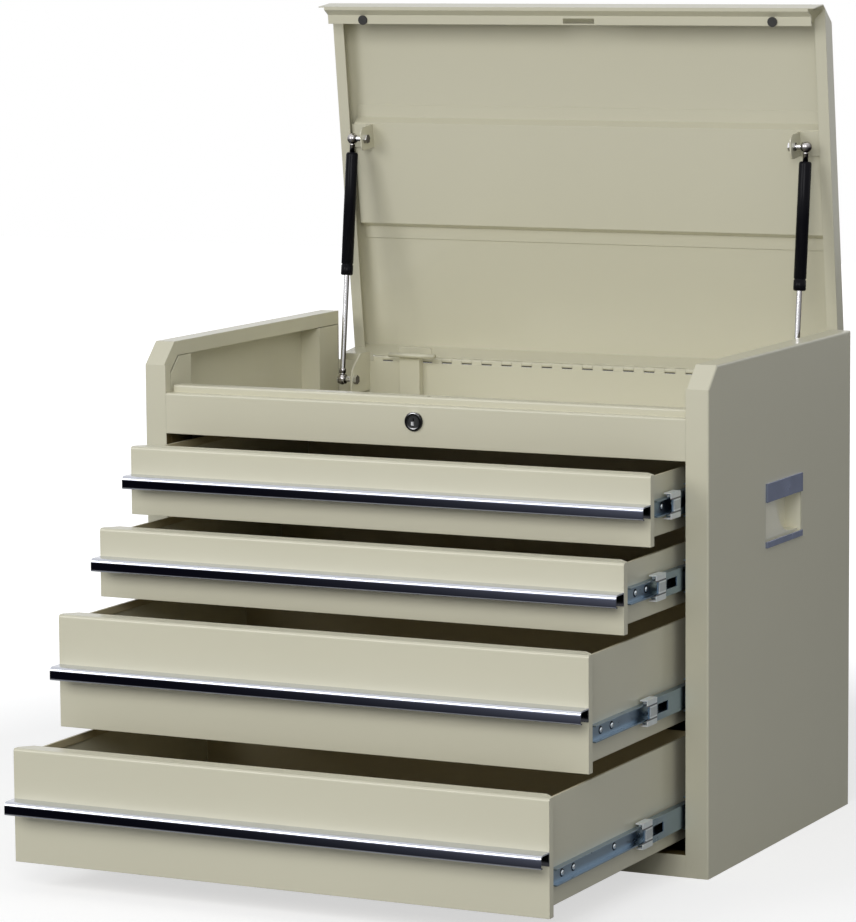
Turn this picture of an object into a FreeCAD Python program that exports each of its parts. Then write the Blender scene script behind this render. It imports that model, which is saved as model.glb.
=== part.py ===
import FreeCAD, Part
import Sketcher
import os
import re

# Machinist tool chest of folded sheet steel: four drawers on three-member ball slides, an open till
# under a sprung lid on a piano hinge, and one lock whose rod also holds the drawers.
#
# Every piece is drawn with the chest shut, in one frame: x across, y back from the front plane, z up from
# the floor. The Placement of its body centres it and moves it to the open pose: drawers out, lid up.

# Driving dimensions, in millimetres and degrees.
SIZES = {
    # chest body
    "chest_width": 660,
    "chest_depth": 409,
    "lid_space": 53.5,
    "panel_gauge": 1.2,
    "bend_radius": 2,
    "edge_chamfer": 23.3,
    "post_width": 25.4,
    "post_return": 11,
    "top_flange": 24,
    "top_lip": 15.5,
    "fit_gap": 0.5,
    "upright_inset": 12,
    "front_upright_depth": 45,
    "rear_upright_inset": 5,
    "rear_upright_depth": 46,
    "sill_height": 23.5,
    "sill_depth": 18,
    "sill_lip": 10,
    "pan_flange": 14,
    # front rail and till
    "rail_gap": 4.7,
    "rail_face": 44,
    "rail_foot": 20,
    "ledge_depth": 11,
    "ledge_rise": 7.9,
    "ledge_inset": 3.6,
    "rail_depth": 28,
    "till_flange": 10,
    # piano hinge
    "hinge_drop": 53.4,
    "hinge_pitch": 25.4,
    "hinge_pairs": 20,
    "hinge_leaf": 20,
    "hinge_gauge": 1.2,
    "knuckle_radius": 2.4,
    "knuckle_play": 0.2,
    "pin_radius": 1.2,
    "running_gap": 0.05,
    "slot_gap": 3.4,
    "lid_leaf_gap": 2.8,
    # lid
    "lid_angle": 83,
    "lid_gauge": 1,
    "lid_side_gap": 1.6,
    "lid_front_gap": 1.5,
    "lid_rear_gap": 1.2,
    "lid_wall": 19,
    "lid_lip": 13,
    "lid_bend": 3,
    "lid_flange_inset": 7,
    "lid_flange_start": 10.6,
    "lid_flange_end": 21,
    "lid_flange_gap": 2,
    "hem_depth": 3.9,
    "rib_reach": 210.2,
    "rib_face": 116,
    "rib_slope": 5.5,
    "rib_foot": 15,
    "rib_drop": 11,
    "rib_side_gap": 15,
    "bumper_spread": 251,
    "bumper_place": 16.4,
    "bumper_radius": 5.5,
    "bumper_stem": 2.9,
    "bumper_gap": 0.3,
    # lid struts
    "strut_inset": 24.6,
    "strut_foot_setback": 39.6,
    "strut_foot_drop": 21.6,
    "strut_head_reach": 254.2,
    "strut_head_drop": 21,
    "strut_plate_gap": 14,
    "strut_plate": 2,
    "eye_radius": 5.5,
    "eye_half": 4.2,
    "ball_radius": 4,
    "stud_radius": 3,
    "collar_radius": 5,
    "collar_width": 2,
    "nut_radius": 5.5,
    "nut_width": 4,
    "strut_end_gap": 0.3,
    "rod_radius": 3,
    "rod_length": 142,
    "tube_radius": 7,
    "tube_length": 142,
    "tube_neck": 16,
    "tube_neck_radius": 2.5,
    "tube_end_wall": 8,
    "upper_bracket_width": 27,
    "upper_bracket_drop": 9,
    "bracket_flange": 26,
    "bracket_corner": 8,
    "lower_bracket_front": 7,
    "lower_bracket_drop": 16,
    "lower_bracket_rise": 29,
    "lower_bracket_flange": 20,
    # drawers
    "first_drawer": 28.6,
    "drawer_gap": 6.2,
    "deep_height": 118,
    "shallow_height": 72.8,
    "drawer_gauge": 1,
    "front_side_gap": 3.4,
    "front_top_flange": 21,
    "front_edge_flange": 9,
    "front_bend": 3,
    "tray_rear_gap": 12,
    "tray_floor_rise": 5.7,
    "tray_top_drop": 4.5,
    "hem_width": 3,
    "hem_height": 8,
    "out_one": 82,
    "out_two": 149.2,
    "out_three": 235.4,
    "out_four": 328.7,
    # full-width pulls
    "pull_reach": 20,
    "pull_height": 13.8,
    "pull_wall": 1.5,
    "pull_nose": 5,
    "pull_lip": 4,
    "pull_lip_wall": 1.2,
    # drawer slides, three members each side
    "slide_rise": 35.5,
    "slide_gauge": 1.2,
    "slide_space": 12.6,
    "slide_outer_half": 17.2,
    "slide_outer_flange": 9,
    "slide_outer_start": 16,
    "slide_rear_gap": 13,
    "slide_middle_half": 12,
    "slide_middle_flange": 7.3,
    "slide_middle_gap": 1.6,
    "slide_middle_start": 24,
    "middle_rear_gap": 6,
    "slide_inner_half": 8.5,
    "slide_inner_flange": 7,
    "slide_inner_start": 22,
    "inner_rear_gap": 9,
    "screw_radius": 2.2,
    "screw_first": 46,
    "screw_second": 73,
    "screw_third": 172,
    "nose_length": 24,
    "nose_wall": 1.2,
    "nose_cap": 1.5,
    "nose_window": 8,
    "nose_window_half": 6.5,
    "middle_setback": 6,
    "lever_start": 28,
    "lever_length": 27,
    "lever_half": 5,
    "cage_length": 80,
    "cage_width": 3,
    "cage_gap": 0.2,
    "middle_one": 57,
    "middle_two": 95,
    "middle_three": 118,
    "middle_four": 130,
    # lock, and the rod that holds the drawers
    "lock_place": -4.4,
    "lock_rise": 26.8,
    "bezel_radius": 10,
    "bezel_stand": 2.5,
    "barrel_radius": 9.4,
    "barrel_length": 14,
    "plug_radius": 6.2,
    "plug_setback": 0.5,
    "key_width": 1.2,
    "key_height": 7.2,
    "key_depth": 5,
    "lock_nut_radius": 13,
    "lock_nut_width": 4,
    "cam_gap": 1,
    "cam_gauge": 2,
    "cam_reach": 36,
    "claw_width": 4,
    "claw_start": -34,
    "claw_sweep": 42,
    "cam_arm": 7,
    "latch_slot_start": 5,
    "latch_slot_end": 30,
    "latch_slot_play": 2.5,
    "lid_slot_start": 0,
    "lid_slot_end": 38,
    "lock_rod_place": -208,
    "lock_rod_width": 26,
    "lock_rod_foot": 70,
    "lock_rod_rise": 7.4,
    "lock_rod_depth": 9.3,
    "lock_travel": 5,
    "finger_width": 12,
    "finger_reach": 9,
    "finger_drop": 6.5,
    "hook_reach": 8.5,
    "hook_wall": 1.5,
    "hook_lip_wall": 2,
    "hook_lip": 6,
    "hook_gap": 1.5,
    "guide_radius": 2.9,
    "guide_head": 5,
    "guide_head_width": 1.7,
    "guide_low": 130,
    "guide_high": 375,
    "tab_side": 8,
    # recessed handles in the sides
    "handle_front": 155,
    "handle_length": 107,
    "handle_bottom": 323.5,
    "handle_top": 392,
    "handle_edge": 2,
    "grip_height": 20,
    "grip_stand": 2,
    "grip_curl": 8,
    "grip_curl_height": 8,
    "lip_height": 6.5,
    "cup_border": 5,
    "cup_depth": 4,
    "dish_setback": 40,
    "dish_rise": 5,
    "dish_depth": 15,
    "dish_corner": 44,
}

# Places that several pieces share, as formulas of the sizes above.
SIDE = "(chest_width / 2)"
OPENING = f"({SIDE} - post_width)"
LINING = f"({SIDE} - panel_gauge)"
REAR = "chest_depth"
BACK = "(chest_depth - panel_gauge)"
BACK_FACE = "(chest_depth - 2 * panel_gauge)"
MITRE = "(sqrt(2) - 1)"
DEEP_PITCH = "(deep_height + drawer_gap)"
SHALLOW_PITCH = "(shallow_height + drawer_gap)"
RAIL_BOTTOM = f"(first_drawer + 2 * {DEEP_PITCH} + 2 * {SHALLOW_PITCH} - drawer_gap + rail_gap)"
RAIL_TOP = f"({RAIL_BOTTOM} + rail_face)"
TOP = f"({RAIL_TOP} + lid_space)"
HINGE = f"({TOP} - hinge_drop)"
LEDGE = f"({RAIL_TOP} + ledge_rise)"
TILL = f"({RAIL_BOTTOM} + panel_gauge)"
FRONT_UPRIGHT_END = "(upright_inset + front_upright_depth)"
REAR_UPRIGHT_END = "(chest_depth - rear_upright_inset)"
REAR_UPRIGHT = f"({REAR_UPRIGHT_END} - rear_upright_depth)"
PIN_Y = f"({BACK} + knuckle_radius)"
LID_SIDE = f"({OPENING} - lid_side_gap)"
LID_ROOF = f"({TOP} - lid_gauge)"
LID_HEM = f"({RAIL_TOP} + lid_front_gap)"
LID_HEEL = f"({HINGE} + lid_rear_gap)"
LID_RIM = f"({TOP} - lid_wall)"
LID_FLANGE = f"({LEDGE} + lid_flange_gap)"
RIB_FACE = f"({LID_ROOF} - rib_drop)"
STRUT_X = f"({OPENING} - strut_inset)"
STRUT_HEAD = (f"({PIN_Y} - strut_head_reach)", f"({RIB_FACE} - strut_head_drop)")
STRUT_FOOT = (f"({BACK_FACE} - strut_foot_setback)", f"({HINGE} - strut_foot_drop)")
PLATE = f"({STRUT_X} - strut_plate_gap)"
LOCK = ("lock_place", f"({RAIL_BOTTOM} + lock_rise)")
FRONT_SIDE = f"({OPENING} - front_side_gap)"
TRAY_SIDE = f"({OPENING} - slide_space)"
ROD_WEB = f"({BACK_FACE} - lock_rod_depth - hook_gap / 5)"
TRAY_END = f"({ROD_WEB} - tray_rear_gap)"
HOOK_TIP = f"({TRAY_END} + hook_reach)"
CAM_FACE = "(barrel_length + cam_gap)"
HANDLE_REAR = "(handle_front + handle_length)"
LIP_FOOT = f"({TOP} - top_lip - edge_chamfer - {MITRE} * top_lip + post_return)"
MIDDLE_WEB = f"({OPENING} - slide_gauge - slide_middle_gap)"
MIDDLE_EDGE = f"({MIDDLE_WEB} - slide_middle_flange)"
SLIDE_END = f"({REAR_UPRIGHT_END} - slide_rear_gap)"
MIDDLE_END = f"({SLIDE_END} - middle_rear_gap)"

# The drawers from the top one down: kind, height of the lower edge, how far out the drawer stands and how
# far out its slides' middle members stand.
DRAWERS = {
    1: ("shallow", f"(first_drawer + 2 * {DEEP_PITCH} + {SHALLOW_PITCH})", "out_one", "middle_one"),
    2: ("shallow", f"(first_drawer + 2 * {DEEP_PITCH})", "out_two", "middle_two"),
    3: ("deep", f"(first_drawer + {DEEP_PITCH})", "out_three", "middle_three"),
    4: ("deep", "first_drawer", "out_four", "middle_four"),
}

PLANES = {"x": "YZ_Plane", "y": "XZ_Plane", "z": "XY_Plane"}

doc = FreeCAD.newDocument("tool_chest")
sheet = doc.addObject("Spreadsheet::Sheet", "sizes")
for line, (name, amount) in enumerate(SIZES.items(), start=1):
    sheet.set(f"A{line}", name)
    sheet.set(f"B{line}", str(amount))
    sheet.setAlias(f"B{line}", name)
doc.recompute()
nodes = []


def formula(text):
    """Point the names of sizes in a formula at the sheet."""
    return re.sub(r"\b[a-z][a-z_]*\b(?!\()", r"sizes.\g<0>", str(text))


def number(text):
    """Work a formula of sizes out to a plain number."""
    answer = sheet.evalExpression(formula(text))
    return float(getattr(answer, "Value", answer))


def place(piece, x="0", y="0", z="0", angle=None):
    """Tie a piece's Placement to the sheet: a shift, and a turn about the x axis."""
    if angle is not None:
        piece.Placement.Rotation = FreeCAD.Rotation(FreeCAD.Vector(1, 0, 0), number(angle))
        piece.setExpression("Placement.Rotation.Angle", formula(angle))
    piece.setExpression("Placement.Base.x", formula(x))
    piece.setExpression("Placement.Base.y", formula(f"{y} - chest_depth / 2"))
    piece.setExpression("Placement.Base.z", formula(z))


def new_body(name, label=True):
    """Start a body in the chest's own frame. A labelled body is a finished sub-part."""
    body = doc.addObject("PartDesign::Body", name)
    place(body)
    if label:
        finish(body, name)
    return body


def finish(piece, name):
    """Give a sub-part the name it is kept under."""
    piece.Label = name
    nodes.append(piece)


def start_sketch(body, axis, at):
    """Start a sketch square to an axis of the body, `at` along that axis."""
    sketch = body.newObject("Sketcher::SketchObject", f"{body.Name}_sketch")
    plane = [item for item in body.Origin.OriginFeatures if item.Role == PLANES[axis]][0]
    sketch.AttachmentSupport = [(plane, "")]
    sketch.MapMode = "FlatFace"
    way = "-1" if axis == "y" else "1"
    sketch.setExpression("AttachmentOffset.Base.z", formula(f"{way} * ({at})"))
    return sketch


def tie_point(sketch, line, end, corner):
    """Hold a point of a sketch at a pair of formulas."""
    for way, text in zip(("DistanceX", "DistanceY"), corner):
        tie = sketch.addConstraint(Sketcher.Constraint(way, -1, 1, line, end, number(text)))
        name = f"{way}{line}"
        sketch.renameConstraint(tie, name)
        sketch.setExpression(f"Constraints.{name}", formula(text))


def draw_outline(sketch, corners):
    """Draw a closed outline through corners given as pairs of formulas."""
    spots = [FreeCAD.Vector(number(u), number(v), 0) for u, v in corners]
    for first, second in zip(spots, spots[1:] + spots[:1]):
        sketch.addGeometry(Part.LineSegment(first, second), False)
    for line in range(len(spots)):
        sketch.addConstraint(Sketcher.Constraint("Coincident", line, 1, (line - 1) % len(spots), 2))
    for line, corner in enumerate(corners):
        tie_point(sketch, line, 1, corner)


def draw_circle(sketch, centre, radius):
    """Draw a circle whose centre and radius are formulas."""
    middle = FreeCAD.Vector(number(centre[0]), number(centre[1]), 0)
    line = sketch.addGeometry(Part.Circle(middle, FreeCAD.Vector(0, 0, 1), number(radius)), False)
    tie_point(sketch, line, 3, centre)
    tie = sketch.addConstraint(Sketcher.Constraint("Radius", line, number(radius)))
    sketch.renameConstraint(tie, f"Radius{line}")
    sketch.setExpression(f"Constraints.Radius{line}", formula(radius))


def sweep(body, kind, axis, start, end, sketch):
    """Pad or pocket a sketch from `start` to `end` along an axis."""
    feature = body.newObject(f"PartDesign::{kind}", f"{body.Name}_{kind.lower()}")
    feature.Profile = sketch
    feature.setExpression("Length", formula(f"({end}) - ({start})"))
    feature.Reversed = (axis == "y") if kind == "Pad" else (axis != "y")
    body.Tip = feature
    return feature


def prism(body, axis, start, end, corners, kind="Pad"):
    """Add, or with kind Pocket take away, a straight length of an outline."""
    sketch = start_sketch(body, axis, start)
    draw_outline(sketch, corners)
    return sweep(body, kind, axis, start, end, sketch)


def block(body, x, y, z, kind="Pad"):
    """Add or take away the space between three pairs of formulas."""
    corners = [(x[0], y[0]), (x[1], y[0]), (x[1], y[1]), (x[0], y[1])]
    return prism(body, "z", z[0], z[1], corners, kind)


def both_sides(body, x, y, z, kind="Pad"):
    """Add or take away a block on the right and its mirror image on the left."""
    block(body, x, y, z, kind)
    block(body, (f"-({x[1]})", f"-({x[0]})"), y, z, kind)


def disc(body, axis, start, end, centre, radius, kind="Pad", hole=None):
    """Add or take away a round length, or a ring where a hole's radius is given."""
    sketch = start_sketch(body, axis, start)
    draw_circle(sketch, centre, radius)
    if hole is not None:
        draw_circle(sketch, centre, hole)
    return sweep(body, kind, axis, start, end, sketch)


def regular(centre, radius, sides=6):
    """Corners of a regular outline, as formulas, with a flat side facing along each axis."""
    corners = []
    for step in range(sides):
        turn = (step + 1 / 2) * 360 / sides
        corners.append((f"{centre[0]} + {radius} * cos({turn})", f"{centre[1]} + {radius} * sin({turn})"))
    return corners


def soften(body, radius, *regions):
    """Round the edges that lie wholly inside any of the regions, each two corners of the body's own frame."""
    doc.recompute()
    base = body.Tip
    slack = 0.01
    chosen = []
    for low, high in regions:
        floor = [number(text) - slack for text in low]
        ceiling = [number(text) + slack for text in high]
        for index, edge in enumerate(base.Shape.Edges, start=1):
            box = edge.BoundBox
            above = box.XMin > floor[0] and box.YMin > floor[1] and box.ZMin > floor[2]
            below = box.XMax < ceiling[0] and box.YMax < ceiling[1] and box.ZMax < ceiling[2]
            if above and below:
                chosen.append(f"Edge{index}")
    fillet = body.newObject("PartDesign::Fillet", f"{body.Name}_fillet")
    fillet.Base = (base, chosen)
    fillet.setExpression("Radius", formula(radius))
    body.Tip = fillet


def mirrored(piece, name):
    """The left-hand image of a right-hand piece."""
    image = doc.addObject("Part::Mirroring", f"{name}_image")
    image.Source = piece
    image.Normal = FreeCAD.Vector(1, 0, 0)
    return image


def instance(name, pieces, y="0", z="0"):
    """Use one or more drawn pieces as a sub-part of its own, shifted to its place."""
    group = doc.addObject("Part::Compound", name)
    group.Links = pieces
    group.setExpression("Placement.Base.y", formula(y))
    group.setExpression("Placement.Base.z", formula(z))
    finish(group, name)


def with_images(*pieces):
    """Right-hand pieces together with their left-hand images."""
    return list(pieces) + [mirrored(piece, piece.Name) for piece in pieces]


def raise_lid(body):
    """Swing a piece of the shut lid about the hinge pin to the open pose."""
    back = f"{PIN_Y} * (1 - cos(lid_angle)) - {HINGE} * sin(lid_angle)"
    rise = f"{PIN_Y} * sin(lid_angle) + {HINGE} * (1 - cos(lid_angle))"
    place(body, "0", back, rise, "-1 * lid_angle")


def side_panel():
    """Side, front post, mitred top edge and rear flange folded as one pan, with the handle's opening."""
    body = new_body("right_side_panel")
    outline = [
        ("0", "0"),
        (REAR, "0"),
        (REAR, TOP),
        ("edge_chamfer", TOP),
        ("0", f"{TOP} - edge_chamfer"),
    ]
    hollow = [
        ("panel_gauge", "-1"),
        (BACK, "-1"),
        (BACK, f"{TOP} - panel_gauge"),
        (f"edge_chamfer + {MITRE} * panel_gauge", f"{TOP} - panel_gauge"),
        ("panel_gauge", f"{TOP} - edge_chamfer - {MITRE} * panel_gauge"),
    ]
    narrowed = [
        ("-1", f"{TOP} - edge_chamfer"),
        (BACK_FACE, f"{TOP} - edge_chamfer"),
        (BACK_FACE, "-1"),
        (f"{REAR} + 1", "-1"),
        (f"{REAR} + 1", f"{TOP} + 1"),
        ("-1", f"{TOP} + 1"),
    ]
    flange_edge = f"({SIDE} - top_flange)"
    prism(body, "x", OPENING, SIDE, outline)
    prism(body, "x", OPENING, LINING, hollow, "Pocket")
    prism(body, "x", OPENING, flange_edge, narrowed, "Pocket")
    lip = [
        ("panel_gauge / 2", f"{TOP} - edge_chamfer"),
        ("edge_chamfer", f"{TOP} - panel_gauge / 2"),
        (BACK, f"{TOP} - panel_gauge / 2"),
        (BACK, f"{TOP} - top_lip"),
        (f"edge_chamfer + {MITRE} * top_lip", f"{TOP} - top_lip"),
        ("post_return", LIP_FOOT),
        ("panel_gauge / 2", LIP_FOOT),
    ]
    prism(body, "x", flange_edge, f"{flange_edge} + panel_gauge", lip)
    post_height = ("panel_gauge", f"{TOP} - edge_chamfer")
    block(body, (OPENING, f"{OPENING} + panel_gauge"), ("panel_gauge / 2", "post_return"), post_height)
    opening_y = ("handle_front + handle_edge", f"{HANDLE_REAR} - handle_edge")
    opening_z = ("handle_bottom + lip_height / 2", "handle_top - grip_curl")
    block(body, (f"{LINING} - 1", f"{SIDE} + 1"), opening_y, opening_z, "Pocket")
    front_edge = ((SIDE, "0", "0"), (SIDE, "0", TOP))
    top_edge = ((SIDE, "0", f"{TOP} - edge_chamfer"), (SIDE, REAR, TOP))
    rear_edge = ((SIDE, REAR, "0"), (SIDE, REAR, TOP))
    soften(body, "bend_radius", front_edge, top_edge, rear_edge)
    image = mirrored(body, "left_side_panel")
    finish(image, "left_side_panel")


def back_panel():
    """Flat rear sheet, seated on the side panels' rear flanges and stopping under the hinge."""
    body = new_body("back_panel")
    width = (f"-{LINING}", LINING)
    block(body, width, (BACK_FACE, BACK), ("panel_gauge", f"{HINGE} - slot_gap"))


def bottom_panel():
    """Floor pan that the chest stands on, its side flanges cut back for the uprights."""
    body = new_body("bottom_panel")
    block(body, (f"-{LINING}", LINING), ("panel_gauge", BACK_FACE), ("0", "pan_flange"))
    inside_x = (f"-({LINING} - panel_gauge)", f"{LINING} - panel_gauge")
    inside_y = ("2 * panel_gauge", f"{BACK_FACE} - panel_gauge")
    block(body, inside_x, inside_y, ("panel_gauge", "pan_flange + 1"), "Pocket")
    flange_x = (f"{OPENING} - fit_gap", f"{SIDE}")
    above = ("panel_gauge", "pan_flange + 1")
    both_sides(body, flange_x, ("0", f"{FRONT_UPRIGHT_END} + fit_gap"), above, "Pocket")
    both_sides(body, flange_x, (f"{REAR_UPRIGHT} - fit_gap", REAR), above, "Pocket")


def front_top_rail():
    """Rail over the drawers: foot, face, ledge for the lid's hem, riser and flange."""
    body = new_body("front_top_rail")
    profile = [
        ("0", RAIL_BOTTOM),
        ("0", RAIL_TOP),
        ("ledge_depth", RAIL_TOP),
        ("ledge_depth", LEDGE),
        ("rail_depth", LEDGE),
        ("rail_depth", f"{LEDGE} - panel_gauge"),
        ("ledge_depth + panel_gauge", f"{LEDGE} - panel_gauge"),
        ("ledge_depth + panel_gauge", f"{RAIL_TOP} - panel_gauge"),
        ("panel_gauge", f"{RAIL_TOP} - panel_gauge"),
        ("panel_gauge", TILL),
        ("rail_foot", TILL),
        ("rail_foot", RAIL_BOTTOM),
    ]
    prism(body, "x", f"-{OPENING}", OPENING, profile)
    face_edge = ((f"-{OPENING}", "0", RAIL_TOP), (OPENING, "0", RAIL_TOP))
    ledge_edge = ((f"-{OPENING}", "ledge_depth", LEDGE), (OPENING, "ledge_depth", LEDGE))
    soften(body, "bend_radius", face_edge, ledge_edge)
    end_x = (f"{OPENING} - ledge_inset", f"{OPENING} + 1")
    both_sides(body, end_x, ("ledge_depth - 1", "rail_depth + 1"), (RAIL_TOP, f"{LEDGE} + 1"), "Pocket")
    centre = LOCK
    disc(body, "y", "-1", "panel_gauge + 1", centre, "barrel_radius + running_gap", "Pocket")
    slot_x = ("latch_slot_start", "latch_slot_end")
    slot_y = (f"{CAM_FACE} - latch_slot_play", f"{CAM_FACE} + cam_gauge + latch_slot_play")
    block(body, slot_x, slot_y, (f"{LEDGE} - panel_gauge - 1", f"{LEDGE} + 1"), "Pocket")


def front_bottom_rail():
    """Sill under the lowest drawer, folded back and down."""
    body = new_body("front_bottom_rail")
    profile = [
        ("0", "0"),
        ("0", "sill_height"),
        ("sill_depth", "sill_height"),
        ("sill_depth", "sill_height - sill_lip"),
        ("sill_depth - panel_gauge", "sill_height - sill_lip"),
        ("sill_depth - panel_gauge", "sill_height - panel_gauge"),
        ("panel_gauge", "sill_height - panel_gauge"),
        ("panel_gauge", "0"),
    ]
    prism(body, "x", f"-{OPENING}", OPENING, profile)
    soften(body, "bend_radius", ((f"-{OPENING}", "0", "sill_height"), (OPENING, "0", "sill_height")))


def till_floor():
    """Floor of the till: a sheet on the front rail's foot, notched at the uprights and the lock rod."""
    body = new_body("till_floor")
    sheet_z = (TILL, f"{TILL} + panel_gauge")
    flange_z = (f"{TILL} - till_flange", TILL)
    block(body, (f"-{LINING}", LINING), ("panel_gauge", BACK_FACE), sheet_z)
    edge_y = (f"{FRONT_UPRIGHT_END} + fit_gap", f"{REAR_UPRIGHT} - fit_gap")
    both_sides(body, (f"{LINING} - panel_gauge", LINING), edge_y, flange_z)
    rear_x = (f"-({OPENING} - fit_gap)", f"{OPENING} - fit_gap")
    block(body, rear_x, (f"{BACK_FACE} - panel_gauge", BACK_FACE), flange_z)
    corner_x = (f"{OPENING} - fit_gap", f"{SIDE}")
    through = (f"{TILL} - till_flange - 1", f"{TILL} + panel_gauge + 1")
    both_sides(body, corner_x, ("0", f"{FRONT_UPRIGHT_END} + fit_gap"), through, "Pocket")
    both_sides(body, corner_x, (f"{REAR_UPRIGHT} - fit_gap", REAR), through, "Pocket")
    notch_x = rod_width("2")
    block(body, notch_x, (f"{ROD_WEB} - 2", REAR), through, "Pocket")


def rod_width(spare):
    """Left and right limits of the lock rod, widened by a clearance."""
    half = f"(lock_rod_width / 2 + {spare})"
    return (f"lock_rod_place - {half}", f"lock_rod_place + {half}")


def upright(name, start, end):
    """Pair of channels, welded in the corners, that the drawer slides are fixed to."""
    body = new_body(f"{name}_channel", label=False)
    profile = [
        (OPENING, start),
        (LINING, start),
        (LINING, f"{start} + panel_gauge"),
        (f"{OPENING} + panel_gauge", f"{start} + panel_gauge"),
        (f"{OPENING} + panel_gauge", f"{end} - panel_gauge"),
        (LINING, f"{end} - panel_gauge"),
        (LINING, end),
        (OPENING, end),
    ]
    top = f"({TOP} - top_lip - fit_gap)"
    prism(body, "z", "panel_gauge", top, profile)
    corner = f"({top} - ({LIP_FOOT}) + post_return + 2 * fit_gap)"
    notch = [
        ("post_return", f"{top} + 1"),
        (f"{corner} + 1", f"{top} + 1"),
        ("post_return", f"{top} + post_return - {corner}"),
    ]
    prism(body, "x", f"{OPENING} - 1", f"{SIDE}", notch, "Pocket")
    instance(name, with_images(body))


def hinge_leaf(name, side, reach, first, count):
    """Half of the piano hinge: a leaf, its row of rolled knuckles and the bore for the pin.

    The leaf is drawn about the pin. `side` is 1 for the leaf that goes up from it and -1 for the one
    that goes down, `reach` the gap from the pin to the leaf, `first` the middle of the first knuckle.
    """
    body = doc.addObject("PartDesign::Body", name)
    place(body, "0", PIN_Y, HINGE)
    finish(body, name)
    half = "((hinge_pairs + 1 / 2) * hinge_pitch / 2)"
    plate = ("-1 * knuckle_radius", "hinge_gauge - knuckle_radius")
    knuckle_half = "(hinge_pitch / 4 - knuckle_play / 2)"
    knuckle_x = (f"{first} - {knuckle_half}", f"{first} + {knuckle_half}")
    ends = (reach, f"{reach} + hinge_leaf")
    tang = ("0", reach)
    if side < 0:
        ends = (f"-1 * ({reach} + hinge_leaf)", f"-1 * {reach}")
        tang = (f"-1 * {reach}", "0")
    block(body, (f"-{half}", half), plate, ends)
    neck = block(body, knuckle_x, plate, tang)
    octagon = regular(("0", "0"), "knuckle_radius / cos(22.5)", 8)
    roll = prism(body, "x", knuckle_x[0], knuckle_x[1], octagon)
    row = body.newObject("PartDesign::LinearPattern", f"{name}_row")
    row.Originals = [neck, roll]
    row.Direction = ([item for item in body.Origin.OriginFeatures if item.Role == "X_Axis"][0], [""])
    row.setExpression("Length", formula(f"({count} - 1) * hinge_pitch"))
    row.setExpression("Occurrences", formula(count))
    body.Tip = row
    bore = regular(("0", "0"), "(pin_radius + running_gap) * sqrt(2)", 4)
    prism(body, "x", f"-{half} - 1", f"{half} + 1", bore, "Pocket")
    return body


def piano_hinge():
    """Both leaves of the hinge and the pin through them."""
    shut_row = "(-1 * hinge_pairs * hinge_pitch / 2)"
    hinge_leaf("hinge_leaf_cabinet", -1, "slot_gap", shut_row, "hinge_pairs + 1")
    lid_row = f"({shut_row} + hinge_pitch / 2)"
    leaf = hinge_leaf("hinge_leaf_lid", 1, "lid_leaf_gap", lid_row, "hinge_pairs")
    place(leaf, "0", PIN_Y, HINGE, "-1 * lid_angle")
    pin = doc.addObject("Part::Cylinder", "hinge_pin")
    pin.Placement.Rotation = FreeCAD.Rotation(FreeCAD.Vector(0, 1, 0), 90)
    pin.setExpression("Radius", formula("pin_radius"))
    pin.setExpression("Height", formula("(hinge_pairs + 1 / 2) * hinge_pitch"))
    place(pin, "-1 * (hinge_pairs + 1 / 2) * hinge_pitch / 2", PIN_Y, HINGE)
    finish(pin, "hinge_pin")


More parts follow.
